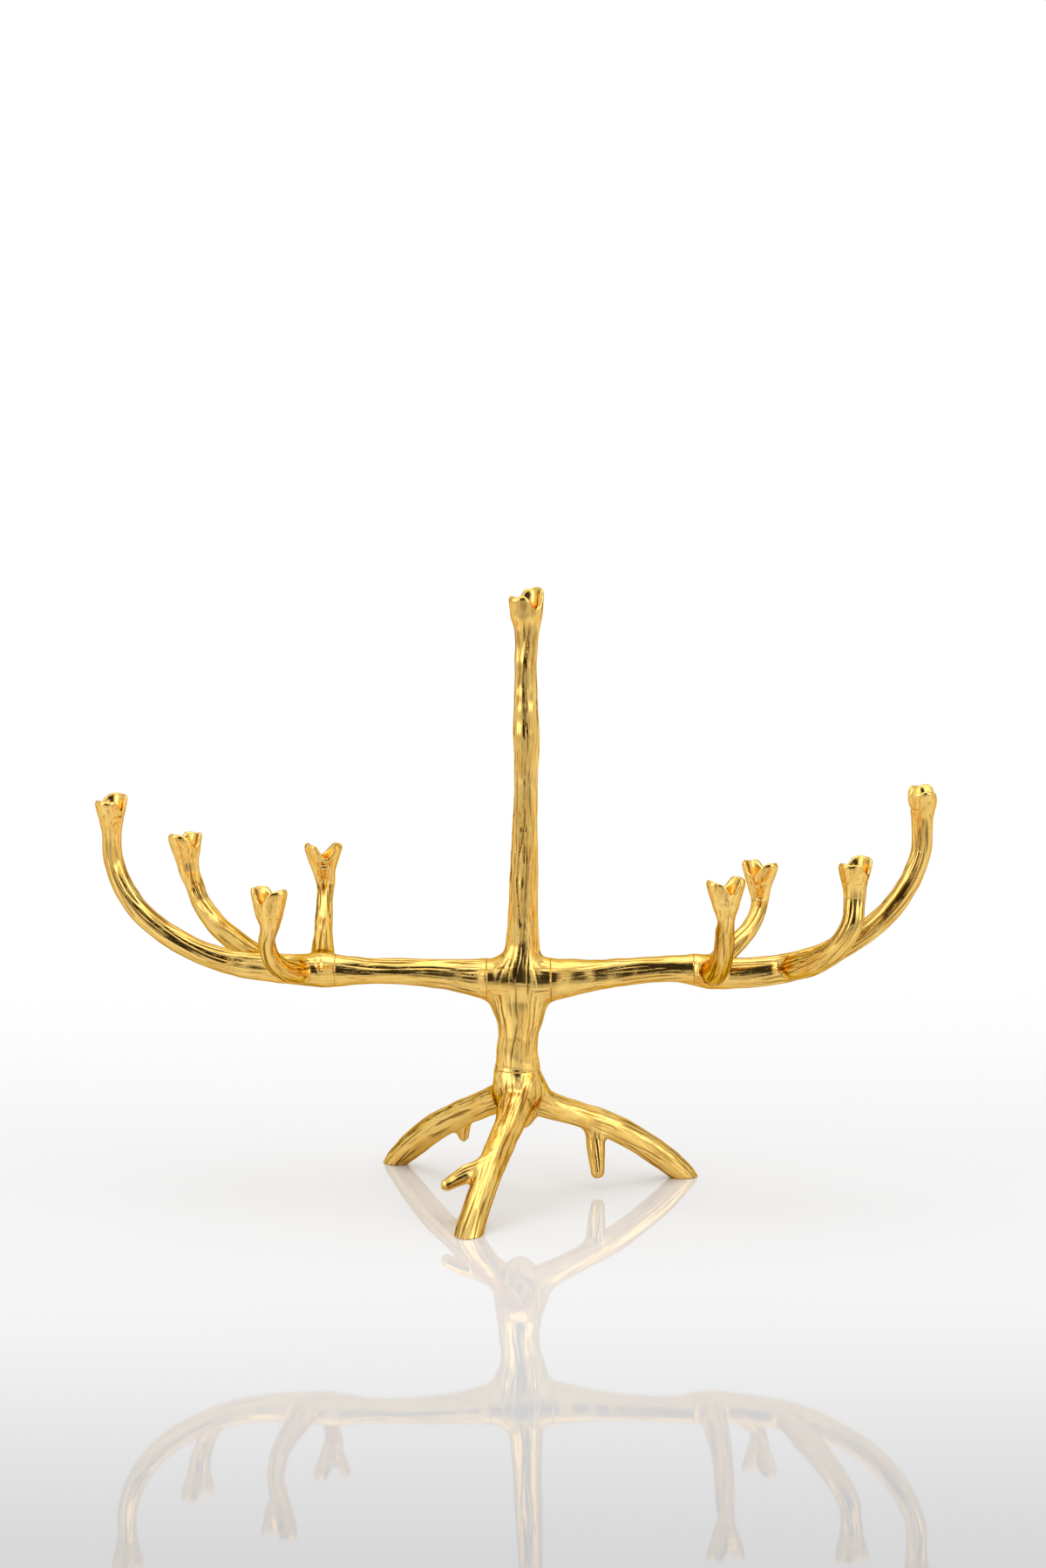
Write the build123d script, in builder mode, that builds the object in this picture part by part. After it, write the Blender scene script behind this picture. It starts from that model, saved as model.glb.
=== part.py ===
"""Tabletop candelabra cast as a bare tree: root base, trunk, two arms and nine candle branches.

Frame: millimetres, +Z up, the table at Z = 0, the widest direction along X, and the front,
where the forward foot stands, towards -Y. The origin is on the table under the middle of
the whole piece. Every casting meets its neighbour face to face, on a hidden pin.
"""
from build123d import *
from math import cos, radians, sin
import os

# ---- driving dimensions -------------------------------------------------------------------
CANDLE_DIAMETER = 9.5
CANDLE_CLEARANCE = 0.15
CANDLE_RADIUS = CANDLE_DIAMETER / 2 + CANDLE_CLEARANCE
CANDLE_DEPTH = 10.5       # floor of a candle bore, below the prong tips
NOTCH_DEPTH = 5.5         # lowest point of the fish-mouth, below the prong tips
NOTCH_RADIUS = 8.6        # the round cope that leaves the two prongs
NOTCH_REACH = 12.0        # half the length of the coping cut

# One candle cup, above its round neck: height below the prong tips, half length, half width.
CUP_HEIGHT = 17.0         # from the neck to the prong tips
CUP_PROFILE = [
    (13.5, 5.5, 5.4),
    (10.5, 6.6, 6.3),
    (7.0, 8.0, 6.9),
    (3.5, 9.1, 7.3),
    (0.0, 9.2, 7.2),
]

TRUNK_Y = 9.0             # the trunk stands a little behind the middle of the whole piece
BASE_SEAM_Z = 58.0        # flat joint between the root base and the trunk
STEM_FOOT_Z = 111.0       # where the round stem leaves the fork of the trunk
LEFT_SEAM_X = -14.0       # flat joints between the trunk's shoulders and the arms
RIGHT_SEAM_X = 15.0
LEFT_KNUCKLE_X = -83.0    # flat joints between the arms and the outer branches
RIGHT_KNUCKLE_X = 80.0

# Hidden assembly hardware: radius, then length.
STUD_RADIUS, STUD_LENGTH = 4.0, 32.0
ARM_DOWEL_RADIUS, ARM_DOWEL_LENGTH = 2.5, 24.0
KNUCKLE_DOWEL_RADIUS, KNUCKLE_DOWEL_LENGTH = 2.0, 16.0
BRANCH_PIN_RADIUS, BRANCH_PIN_LENGTH = 1.25, 9.0
BRANCH_PIN_START = 3.0    # from the centreline of the branch that carries it
PIN_CHAMFER = 0.4
BORE_END_PLAY = 0.3       # each blind pin hole is this much deeper than its pin

# ---- centrelines: x, y, z and the radius there ---------------------------------------------
# The trunk's sections lie flat, and have a half width along X and along Y.
TRUNK_SECTIONS = [
    (-0.5, BASE_SEAM_Z, 10.2, 10.0),
    (-0.5, 66.0, 9.5, 9.6),
    (0.2, 75.0, 9.3, 9.3),
    (0.7, 82.0, 11.8, 9.9),
    (0.6, 89.0, 14.6, 10.4),
    (0.8, 98.0, 14.8, 10.4),
    (1.2, 105.0, 11.4, 9.6),
    (2.0, STEM_FOOT_Z, 8.4, 8.4),
]
ROOT_STUB = [
    (0.0, TRUNK_Y, 40.0, 9.0),
    (0.0, TRUNK_Y, 49.0, 11.8),
    (-0.5, TRUNK_Y, BASE_SEAM_Z, 10.1),
]
SHOULDERS = [
    (LEFT_SEAM_X, TRUNK_Y, 99.6, 9.5),
    (0.5, TRUNK_Y, 99.2, 9.8),
    (RIGHT_SEAM_X, TRUNK_Y, 98.8, 9.9),
]
STEM = [
    (2.0, 9.0, STEM_FOOT_Z, 8.4),
    (2.4, 9.0, 120.0, 7.3),
    (3.2, 9.0, 147.0, 6.4),
    (3.8, 9.0, 171.0, 5.6),
    (4.2, 9.0, 189.0, 5.3),
    (4.6, 9.0, 211.0, 5.9),
    (4.6, 9.0, 229.0, 5.2),
    (4.7, 9.0, 244.0, 5.0),
]
LEFT_ARM = [
    (LEFT_SEAM_X, 9.0, 99.6, 9.5),
    (-22.0, 9.0, 100.6, 8.1),
    (-33.0, 9.5, 101.6, 6.9),
    (-50.0, 10.5, 102.8, 6.1),
    (-66.0, 11.5, 103.0, 5.9),
    (-76.0, 12.5, 103.0, 6.6),
    (LEFT_KNUCKLE_X, 13.5, 103.0, 7.5),
]
RIGHT_ARM = [
    (RIGHT_SEAM_X, 9.0, 98.8, 9.9),
    (23.0, 9.0, 99.4, 8.6),
    (35.0, 9.5, 100.6, 7.1),
    (50.0, 10.5, 102.0, 6.2),
    (64.0, 11.5, 103.0, 5.9),
    (73.0, 11.5, 103.0, 6.2),
    (RIGHT_KNUCKLE_X, 11.0, 102.5, 7.0),
]
LEFT_OUTER = [
    (LEFT_KNUCKLE_X, 13.5, 103.0, 7.5),
    (-96.0, 16.5, 102.8, 7.2),
    (-110.0, 19.0, 103.2, 6.7),
    (-125.0, 20.5, 104.8, 6.2),
    (-138.0, 21.5, 107.8, 5.6),
    (-150.0, 22.0, 112.8, 5.2),
    (-162.0, 23.0, 119.8, 5.1),
    (-172.0, 23.5, 128.5, 5.0),
    (-180.0, 24.0, 140.5, 4.8),
    (-184.0, 24.0, 152.0, 4.5),
]
RIGHT_OUTER = [
    (RIGHT_KNUCKLE_X, 11.0, 102.5, 7.0),
    (90.0, 9.0, 101.4, 7.1),
    (102.0, 7.0, 101.8, 7.0),
    (115.0, 5.5, 103.2, 6.7),
    (129.0, 4.5, 106.2, 6.2),
    (144.0, 4.5, 112.4, 5.5),
    (158.0, 4.5, 121.0, 5.1),
    (170.0, 4.0, 132.5, 5.0),
    (179.0, 4.0, 147.0, 4.7),
    (182.6, 4.0, 158.5, 4.6),
]
LEFT_MID = [
    (-108.0, 18.6, 103.4, 5.2),
    (-120.5, 30.0, 107.2, 5.3),
    (-131.5, 42.5, 112.5, 5.1),
    (-142.0, 54.5, 119.5, 4.8),
    (-149.0, 61.5, 128.0, 4.5),
    (-152.5, 63.0, 137.0, 4.5),
]
LEFT_FRONT = [
    (-97.0, 16.5, 102.8, 6.0),
    (-101.5, 3.5, 104.5, 5.4),
    (-106.5, -9.5, 108.8, 4.8),
    (-109.8, -19.0, 115.0, 4.2),
    (-110.6, -25.0, 122.5, 3.8),
]
LEFT_REAR = [
    (-89.0, 15.0, 103.0, 6.2),
    (-89.5, 27.0, 109.0, 5.2),
    (-90.0, 41.0, 116.5, 4.2),
    (-90.2, 53.0, 123.5, 4.1),
    (-90.4, 61.5, 130.0, 3.8),
]
RIGHT_MID = [
    (120.0, 5.2, 104.2, 5.9),
    (127.0, -10.0, 107.6, 5.8),
    (134.0, -24.0, 112.8, 5.5),
    (141.0, -34.0, 120.0, 5.1),
    (146.0, -37.5, 128.5, 4.9),
]
RIGHT_FRONT = [
    (87.5, 9.5, 101.6, 6.2),
    (88.6, -5.0, 104.4, 5.8),
    (90.0, -19.0, 110.0, 5.2),
    (90.8, -31.0, 118.0, 4.6),
    (90.8, -39.0, 127.0, 4.3),
]
RIGHT_REAR = [
    (87.0, 10.0, 101.8, 5.4),
    (93.5, 20.5, 106.4, 4.9),
    (100.4, 28.8, 111.2, 4.4),
    (106.8, 35.2, 116.4, 4.1),
    (110.9, 40.8, 122.4, 3.9),
]
LEFT_LEG = [
    (0.5, 9.5, 50.0, 9.0),
    (-7.5, 17.5, 44.8, 8.0),
    (-15.7, 26.0, 39.2, 7.0),
    (-27.0, 37.0, 31.2, 6.4),
    (-39.5, 49.5, 21.6, 6.4),
    (-50.5, 60.5, 10.8, 6.1),
    (-56.8, 66.5, 2.6, 5.5),
    (-60.5, 70.0, -5.0, 4.8),
]
RIGHT_LEG = [
    (1.0, 9.0, 50.0, 9.0),
    (12.0, 13.5, 43.4, 8.4),
    (26.0, 19.0, 36.6, 6.8),
    (42.5, 25.4, 27.8, 6.3),
    (58.5, 31.4, 16.8, 5.9),
    (69.5, 35.2, 7.6, 5.8),
    (75.5, 37.0, 1.0, 5.3),
    (79.5, 38.2, -6.0, 4.7),
]
FRONT_LEG = [
    (0.0, 8.5, 50.0, 9.0),
    (-1.5, -2.0, 44.0, 8.0),
    (-4.0, -13.0, 37.8, 6.8),
    (-8.0, -25.0, 31.0, 6.4),
    (-12.0, -37.0, 23.6, 6.2),
    (-15.8, -48.0, 15.8, 5.9),
    (-19.5, -58.5, 7.0, 6.0),
    (-22.5, -67.0, -2.5, 6.3),
    (-24.0, -71.5, -8.5, 6.3),
]
LEFT_TWIG = [(-26.0, 38.0, 31.0, 3.4), (-26.4, 40.0, 25.0, 3.0), (-26.6, 41.0, 20.0, 2.4)]
RIGHT_TWIG = [
    (34.5, 22.4, 31.5, 5.0),
    (35.3, 20.6, 21.0, 4.1),
    (36.0, 18.0, 13.0, 3.5),
    (36.3, 16.4, 7.5, 2.9),
]
FRONT_TWIG = [(-12.0, -37.0, 24.0, 4.4), (-22.0, -40.4, 20.8, 3.7), (-31.5, -43.4, 16.8, 2.7)]

# Cups: centre in x and y, height of the prong tips, direction of the prongs in degrees from +X,
# and the radius of the neck.
CUP_CENTRE = (5.2, 9.5, 277.0, 50.0, 5.9)
CUP_LEFT_OUTER = (-184.8, 23.0, 183.7, 70.0, 4.7)
CUP_LEFT_MID = (-155.6, 60.5, 161.3, 53.0, 5.0)
CUP_LEFT_FRONT = (-108.8, -29.6, 148.2, -36.0, 4.7)
CUP_LEFT_REAR = (-91.2, 68.0, 154.9, 18.0, 4.1)
CUP_RIGHT_OUTER = (182.7, 4.0, 187.0, 88.0, 4.9)
CUP_RIGHT_MID = (148.3, -35.0, 160.2, 55.0, 4.9)
CUP_RIGHT_FRONT = (90.7, -47.6, 153.6, 25.0, 4.2)
CUP_RIGHT_REAR = (113.2, 48.4, 147.6, -41.0, 4.3)

TO_LEFT = Vector(-1, 0, 0)
TO_RIGHT = Vector(1, 0, 0)
UP = Vector(0, 0, 1)
LEVEL_ENOUGH = 0.1        # a limb that ends steeper than this takes its sections' twist from +X


# ---- building blocks, used inside a sub-part's block ----------------------------------------
def section_planes(route, across=None, first=None, last=None):
    """Planes square to a route, carried back from its far end so that the sections don't twist."""
    points = [Vector(x, y, z) for x, y, z, _ in route]
    tangents = []
    for index in range(len(points)):
        ahead = points[min(index + 1, len(points) - 1)]
        behind = points[max(index - 1, 0)]
        tangents.append((ahead - behind).normalized())
    if first:
        tangents[0] = first
    if last:
        tangents[-1] = last
    if across is None:
        sideways = tangents[-1].cross(UP)
        across = sideways if sideways.length > LEVEL_ENOUGH else TO_RIGHT
    planes = []
    for point, tangent in zip(reversed(points), reversed(tangents)):
        across = (across - tangent * across.dot(tangent)).normalized()
        planes.insert(0, Plane(origin=point, x_dir=across, z_dir=tangent))
    return planes


def section(plane, half_length, half_width=None):
    """A round or oval section on a plane."""
    with BuildSketch(plane) as outline:
        if half_width is None:
            Circle(half_length)
        else:
            Ellipse(half_length, half_width)
    return outline.sketch


def limb_sections(route, across=None, first=None, last=None):
    """Round sections square to a route, one at each of its stations."""
    planes = section_planes(route, across, first, last)
    return [section(plane, station[3]) for plane, station in zip(planes, route)]


def add_limb(route, first=None, last=None):
    """A round limb that swells and thins along its route."""
    loft(limb_sections(route, first=first, last=last))


def cup_plane(cup, below):
    """A level plane on a cup's axis, with +X from prong to prong."""
    x, y, tip_z, azimuth, _ = cup
    across = Vector(cos(radians(azimuth)), sin(radians(azimuth)), 0)
    return Plane(origin=(x, y, tip_z - below), x_dir=across, z_dir=UP)


def add_candle_limb(route, cup, first=None):
    """A limb that ends upright in its flared candle cup."""
    neck = cup_plane(cup, CUP_HEIGHT)
    neck_radius = cup[-1]
    whole_route = route + [(*neck.origin, neck_radius)]
    loft(limb_sections(whole_route, neck.x_dir, first, UP))
    flare = [section(neck, neck_radius)]
    for below, half_length, half_width in CUP_PROFILE:
        flare.append(section(cup_plane(cup, below), half_length, half_width))
    loft(flare)


def open_cup(cup):
    """Copes the rim into two prongs and bores the candle socket."""
    cope = cup_plane(cup, NOTCH_DEPTH - NOTCH_RADIUS)
    side_on = Plane(origin=cope.origin, x_dir=cope.x_dir, z_dir=cope.y_dir)
    extrude(section(side_on, NOTCH_RADIUS), amount=NOTCH_REACH, both=True, mode=Mode.SUBTRACT)
    floor = section(cup_plane(cup, CANDLE_DEPTH), CANDLE_RADIUS)
    extrude(floor, amount=CANDLE_DEPTH, mode=Mode.SUBTRACT)


def add_twig(route):
    """A short cut twig with a rounded end."""
    add_limb(route)
    x, y, z, radius = route[-1]
    with Locations((x, y, z)):
        Sphere(radius)


def bore_for(pin):
    """A blind hole for a pin, a little deeper than it at both ends."""
    start, direction, length, radius = pin
    mouth = section(Plane(origin=start - direction * BORE_END_PLAY, z_dir=direction), radius)
    extrude(mouth, amount=length + 2 * BORE_END_PLAY, mode=Mode.SUBTRACT)


def add_pin(pin):
    """A plain pin with chamfered ends."""
    start, direction, length, radius = pin
    extrude(section(Plane(origin=start, z_dir=direction), radius), amount=length)
    chamfer(edges().filter_by(GeomType.CIRCLE), length=PIN_CHAMFER)


def pin_across(seam, direction, length, radius):
    """A pin centred on a flat joint."""
    return (seam - direction * (length / 2), direction, length, radius)


def pin_at_root(route):
    """A pin from inside the carrying branch into the root of a side branch."""
    root, along = Vector(*route[0][:3]), Vector(*route[1][:3])
    direction = (along - root).normalized()
    return (root + direction * BRANCH_PIN_START, direction, BRANCH_PIN_LENGTH, BRANCH_PIN_RADIUS)


# ---- hidden pins ------------------------------------------------------------------------------
BASE_STUD = pin_across(Vector(-0.5, TRUNK_Y, BASE_SEAM_Z), UP, STUD_LENGTH, STUD_RADIUS)
ARM_DOWELS = {
    "left": pin_across(Vector(*SHOULDERS[0][:3]), TO_LEFT, ARM_DOWEL_LENGTH, ARM_DOWEL_RADIUS),
    "right": pin_across(Vector(*SHOULDERS[-1][:3]), TO_RIGHT, ARM_DOWEL_LENGTH, ARM_DOWEL_RADIUS),
}
KNUCKLE_DOWELS = {
    "left": pin_across(Vector(*LEFT_OUTER[0][:3]), TO_LEFT, KNUCKLE_DOWEL_LENGTH, KNUCKLE_DOWEL_RADIUS),
    "right": pin_across(Vector(*RIGHT_OUTER[0][:3]), TO_RIGHT, KNUCKLE_DOWEL_LENGTH, KNUCKLE_DOWEL_RADIUS),
}

# ---- root base: three legs that spread from a stub, with three cut twigs ------------------------
with BuildPart() as root_base:
    add_limb(ROOT_STUB, first=UP, last=UP)
    for leg in (LEFT_LEG, RIGHT_LEG, FRONT_LEG):
        add_limb(leg)
    for twig in (LEFT_TWIG, RIGHT_TWIG, FRONT_TWIG):
        add_twig(twig)
    split(bisect_by=Plane.XY)
    bore_for(BASE_STUD)
root_base.part.label = "root_base"

# ---- trunk: fork, shoulders and the tall stem with the centre cup ------------------------------
with BuildPart() as trunk_stem:
    fork = []
    for x, z, half_x, half_y in TRUNK_SECTIONS:
        level = Plane(origin=(x, TRUNK_Y, z), x_dir=TO_RIGHT, z_dir=UP)
        fork.append(section(level, half_x, half_y))
    loft(fork)
    split(bisect_by=Plane.YZ.offset(LEFT_SEAM_X))
    split(bisect_by=Plane.YZ.offset(RIGHT_SEAM_X), keep=Keep.BOTTOM)
    add_limb(SHOULDERS, first=TO_RIGHT, last=TO_RIGHT)
    add_candle_limb(STEM, CUP_CENTRE, first=UP)
    open_cup(CUP_CENTRE)
    bore_for(BASE_STUD)
    for dowel in ARM_DOWELS.values():
        bore_for(dowel)
trunk_stem.part.label = "trunk_stem"

# ---- arms --------------------------------------------------------------------------------------
with BuildPart() as left_arm:
    add_limb(LEFT_ARM, first=TO_LEFT, last=TO_LEFT)
    bore_for(ARM_DOWELS["left"])
    bore_for(KNUCKLE_DOWELS["left"])
left_arm.part.label = "left_arm"

with BuildPart() as right_arm:
    add_limb(RIGHT_ARM, first=TO_RIGHT, last=TO_RIGHT)
    bore_for(ARM_DOWELS["right"])
    bore_for(KNUCKLE_DOWELS["right"])
right_arm.part.label = "right_arm"

# ---- outer branches, which carry the other three on each side ------------------------------------
# The limbs as cast, before they are drilled: the roots of the side branches are coped to these.
with BuildPart() as left_limb:
    add_candle_limb(LEFT_OUTER, CUP_LEFT_OUTER, first=TO_LEFT)
    add_limb(LEFT_ARM, first=TO_LEFT, last=TO_LEFT)

with BuildPart() as right_limb:
    add_candle_limb(RIGHT_OUTER, CUP_RIGHT_OUTER, first=TO_RIGHT)
    add_limb(RIGHT_ARM, first=TO_RIGHT, last=TO_RIGHT)

with BuildPart() as left_outer_branch:
    add_candle_limb(LEFT_OUTER, CUP_LEFT_OUTER, first=TO_LEFT)
    open_cup(CUP_LEFT_OUTER)
    bore_for(KNUCKLE_DOWELS["left"])
    for route in (LEFT_MID, LEFT_FRONT, LEFT_REAR):
        bore_for(pin_at_root(route))
left_outer_branch.part.label = "left_outer_branch"

with BuildPart() as right_outer_branch:
    add_candle_limb(RIGHT_OUTER, CUP_RIGHT_OUTER, first=TO_RIGHT)
    open_cup(CUP_RIGHT_OUTER)
    bore_for(KNUCKLE_DOWELS["right"])
    for route in (RIGHT_MID, RIGHT_FRONT, RIGHT_REAR):
        bore_for(pin_at_root(route))
right_outer_branch.part.label = "right_outer_branch"

# ---- side branches: each root is coped to the limb that it is set on ------------------------------
SIDE_BRANCHES = {
    "left_front": (LEFT_FRONT, CUP_LEFT_FRONT, left_limb),
    "left_rear": (LEFT_REAR, CUP_LEFT_REAR, left_limb),
    "left_mid": (LEFT_MID, CUP_LEFT_MID, left_limb),
    "right_front": (RIGHT_FRONT, CUP_RIGHT_FRONT, right_limb),
    "right_rear": (RIGHT_REAR, CUP_RIGHT_REAR, right_limb),
    "right_mid": (RIGHT_MID, CUP_RIGHT_MID, right_limb),
}
side_branches = {}
for name, (route, cup, carrier) in SIDE_BRANCHES.items():
    with BuildPart() as side_branch:
        add_candle_limb(route, cup)
        open_cup(cup)
        add(carrier.part, mode=Mode.SUBTRACT)
        if name.endswith("_rear"):
            add(side_branches[name.replace("_rear", "_front")].part, mode=Mode.SUBTRACT)
        bore_for(pin_at_root(route))
    side_branch.part.label = name + "_branch"
    side_branches[name] = side_branch

# ---- hidden pins -------------------------------------------------------------------------------
PINS = {"base_stud": BASE_STUD}
for side in ("left", "right"):
    PINS[side + "_arm_dowel"] = ARM_DOWELS[side]
    PINS[side + "_knuckle_dowel"] = KNUCKLE_DOWELS[side]
for name, (route, *_) in SIDE_BRANCHES.items():
    PINS[name + "_pin"] = pin_at_root(route)

pins = []
for name, pin in PINS.items():
    with BuildPart() as hidden_pin:
        add_pin(pin)
    hidden_pin.part.label = name
    pins.append(hidden_pin)

# ---- one STEP file for each piece ----------------------------------------------------------------
castings = [root_base, trunk_stem, left_arm, right_arm, left_outer_branch, right_outer_branch]
os.makedirs("parts", exist_ok=True)
for piece in castings + list(side_branches.values()) + pins:
    export_step(piece.part, f"parts/{piece.part.label}.step")
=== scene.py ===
"""Looks of the gold tabletop candelabra: twelve bark-skinned castings on hidden brass pins.

Every limb is a smooth centreline with a radius, a map of the bark round it, and for nine of
them a candle cup. The limbs are blended into one tree in a signed distance field, in
millimetres. Each casting is its share of that field, cut off at its joints and meshed on its own.
"""

from concurrent.futures import ThreadPoolExecutor
from math import cos, pi, radians, sin

import bpy
import numpy as np
from mathutils import Euler, Matrix, Vector


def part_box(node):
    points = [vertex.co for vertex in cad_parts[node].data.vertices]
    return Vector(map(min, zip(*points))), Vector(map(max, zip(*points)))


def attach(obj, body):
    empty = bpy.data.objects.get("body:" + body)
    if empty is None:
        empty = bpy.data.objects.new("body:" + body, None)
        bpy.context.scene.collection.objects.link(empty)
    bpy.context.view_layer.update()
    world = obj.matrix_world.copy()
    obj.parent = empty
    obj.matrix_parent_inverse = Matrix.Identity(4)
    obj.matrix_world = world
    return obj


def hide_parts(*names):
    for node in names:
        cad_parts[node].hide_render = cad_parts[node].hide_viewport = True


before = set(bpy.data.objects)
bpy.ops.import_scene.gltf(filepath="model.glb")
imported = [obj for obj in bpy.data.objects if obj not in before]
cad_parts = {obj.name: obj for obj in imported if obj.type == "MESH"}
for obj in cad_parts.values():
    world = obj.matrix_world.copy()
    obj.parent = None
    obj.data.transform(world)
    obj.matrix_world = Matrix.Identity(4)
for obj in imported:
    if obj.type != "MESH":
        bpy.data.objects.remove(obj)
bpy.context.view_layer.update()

# ---- driving dimensions, in millimetres ---------------------------------------------------------
MM = 0.001
FULL_TURN = 2.0 * pi
VOXEL = 0.4
BLOCK = 8                 # voxels along each side of a block, the unit that the field is worked out in
PATH_STEP = 0.5           # between the samples of a centreline
BARK_STEP = 0.3           # between the rows of a bark map
BARK_ANGLES = 320         # columns of a bark map
FAR = 30.0                # stands for the distance to a limb that is too far away to matter
HALF_DIAGONAL = 0.87      # from the centre of a cube to its corner, in sides
BOX_MARGIN = 4.5          # room round the CAD node's box for skin that stands past it
LIMB_SLACK = 1.5          # added to a limb's reach, because its first distance is rough
SURFACE_SLACK = 2.0       # added for the same reason in the search for blocks with surface

THREADS = 4
BLOCKS_PER_BATCH = 48
CENTRES_PER_BATCH = 2048
VERTICES_PER_BATCH = 16000

SETTLE_NUDGE = 0.06       # step that the field's slope is measured over
SETTLE_LIMIT = 0.35       # the most that a vertex moves along an axis in one round
SETTLE_STEEPNESS = 0.25   # least square of the slope, so that a flat spot throws no vertex far

GROOVE_DEPTH = 0.42
GROOVE_SPACING = 1.45
GROOVE_SHARE = 0.25       # average of the grooves round a limb: dressed places are level with it
BLEND = 4.2               # reach of the fillets between two limbs
EDGE_ROUND = 0.03         # rounding where a casting meets its neighbour
JOINT_EDGE = 0.05         # a joint face starts this far under the skin
SADDLE_DEPTH = 0.8        # how far a side branch is let into the limb that carries it

TRUNK_Y = 9.0
BASE_SEAM_Z = 58.0
LEFT_SEAM_X, RIGHT_SEAM_X = -14.0, 15.0
LEFT_KNUCKLE_X, RIGHT_KNUCKLE_X = -83.0, 80.0
BEYOND_X = 300.0          # outside the tips of all branches
OVAL_TRUNK_Z = 150.0      # below this the leader's long axis lies along X, above it along its cup

BASE_SEAM = (-0.5, TRUNK_Y, BASE_SEAM_Z)
LEFT_SEAM = (LEFT_SEAM_X, TRUNK_Y, 99.6)
RIGHT_SEAM = (RIGHT_SEAM_X, TRUNK_Y, 98.8)
LEFT_KNUCKLE = (LEFT_KNUCKLE_X, 13.5, 103.0)
RIGHT_KNUCKLE = (RIGHT_KNUCKLE_X, 11.0, 102.5)

# Hidden pins, made by the CAD model and drilled for here.
STUD_RADIUS, STUD_LENGTH = 4.0, 32.0
ARM_DOWEL_RADIUS, ARM_DOWEL_LENGTH = 2.5, 24.0
KNUCKLE_DOWEL_RADIUS, KNUCKLE_DOWEL_LENGTH = 2.0, 16.0
BRANCH_PIN_RADIUS, BRANCH_PIN_LENGTH = 1.25, 9.0
BRANCH_PIN_START = 3.0    # from the centreline of the limb that carries the branch
PIN_END_PLAY = 0.3
PIN_SIDE_PLAY = 0.04

CANDLE_RADIUS = 4.9
CANDLE_DEPTH = 10.5
CUP_HEIGHT = 17.0
CUP_PROFILE = [           # below the prong tips, half length, half width
    (13.5, 5.5, 5.2),
    (10.5, 6.6, 6.0),
    (7.0, 7.8, 6.6),
    (3.5, 9.0, 7.0),
    (0.0, 9.5, 7.3),
]
CUP_OVERRUN = 4.0         # the centreline runs on this far above the tips
CUP_CUT_HEIGHT = 20.0     # the rim, funnel and socket are cut no lower than this below the tips
PRONG_START = 0.4         # the rim climbs from its notch to its prongs from here
PRONG_RISE = 5.8          # over this length
MOUTH_DEPTH = 9.5         # the funnel widens from here below the tips
MOUTH_LENGTH, MOUTH_WIDTH = 1.3, 0.3      # more than the candle's radius, towards the prongs and across
LIP_DEPTH, LIP_SHARE = 4.0, 0.25          # the last flare of the funnel, as a share of the whole
RIM_ROUND, MOUTH_ROUND, SOCKET_ROUND = 2.4, 2.0, 0.8

# Bark. A flute is a wave round the limb: its count and size. A lump winds along it: its turns,
# pitch and size.
FLUTES = ((2, 0.2), (3, 0.24), (5, 0.16), (8, 0.09))
LUMPS = ((1, 27.0, 0.09), (2, 17.0, 0.06), (-1, 11.0, 0.05))

# ---- centrelines: x, y, z and radius ------------------------------------------------------------
STUB_AND_TRUNK = [        # x, z, half width along X, half width along Y
    (0.0, 38.0, 8.0, 8.0),
    (0.0, 49.0, 11.4, 11.4),
    (-0.5, BASE_SEAM_Z, 10.2, 10.0),
    (-0.5, 66.0, 9.5, 9.6),
    (0.2, 75.0, 9.3, 9.3),
    (0.7, 82.0, 11.2, 9.9),
    (0.6, 89.0, 13.4, 10.2),
    (0.8, 98.0, 13.6, 10.2),
    (1.2, 105.0, 11.0, 9.4),
    (2.0, 111.0, 8.4, 8.4),
]
STEM = [
    (2.4, TRUNK_Y, 120.0, 7.3),
    (3.2, TRUNK_Y, 147.0, 6.4),
    (3.8, TRUNK_Y, 171.0, 5.6),
    (4.2, TRUNK_Y, 189.0, 5.3),
    (4.6, TRUNK_Y, 211.0, 5.9),
    (4.6, TRUNK_Y, 229.0, 5.2),
    (4.7, TRUNK_Y, 244.0, 5.0),
]
LEFT_WING = [
    (0.5, TRUNK_Y, 99.2, 9.8),
    (*LEFT_SEAM, 9.5),
    (-22.0, TRUNK_Y, 100.6, 8.1),
    (-33.0, 9.5, 101.6, 6.9),
    (-50.0, 10.5, 102.8, 6.1),
    (-66.0, 11.5, 103.0, 5.9),
    (-76.0, 12.5, 103.0, 6.6),
    (*LEFT_KNUCKLE, 7.5),
    (-96.0, 16.5, 102.8, 7.2),
    (-110.0, 19.0, 103.2, 6.7),
    (-125.0, 20.5, 104.8, 6.2),
    (-138.0, 21.5, 107.8, 5.6),
    (-150.0, 22.0, 112.8, 5.2),
    (-162.0, 23.0, 119.8, 5.1),
    (-172.0, 23.5, 128.5, 5.0),
    (-180.0, 24.0, 140.5, 4.8),
    (-184.0, 24.0, 152.0, 4.5),
]
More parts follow.
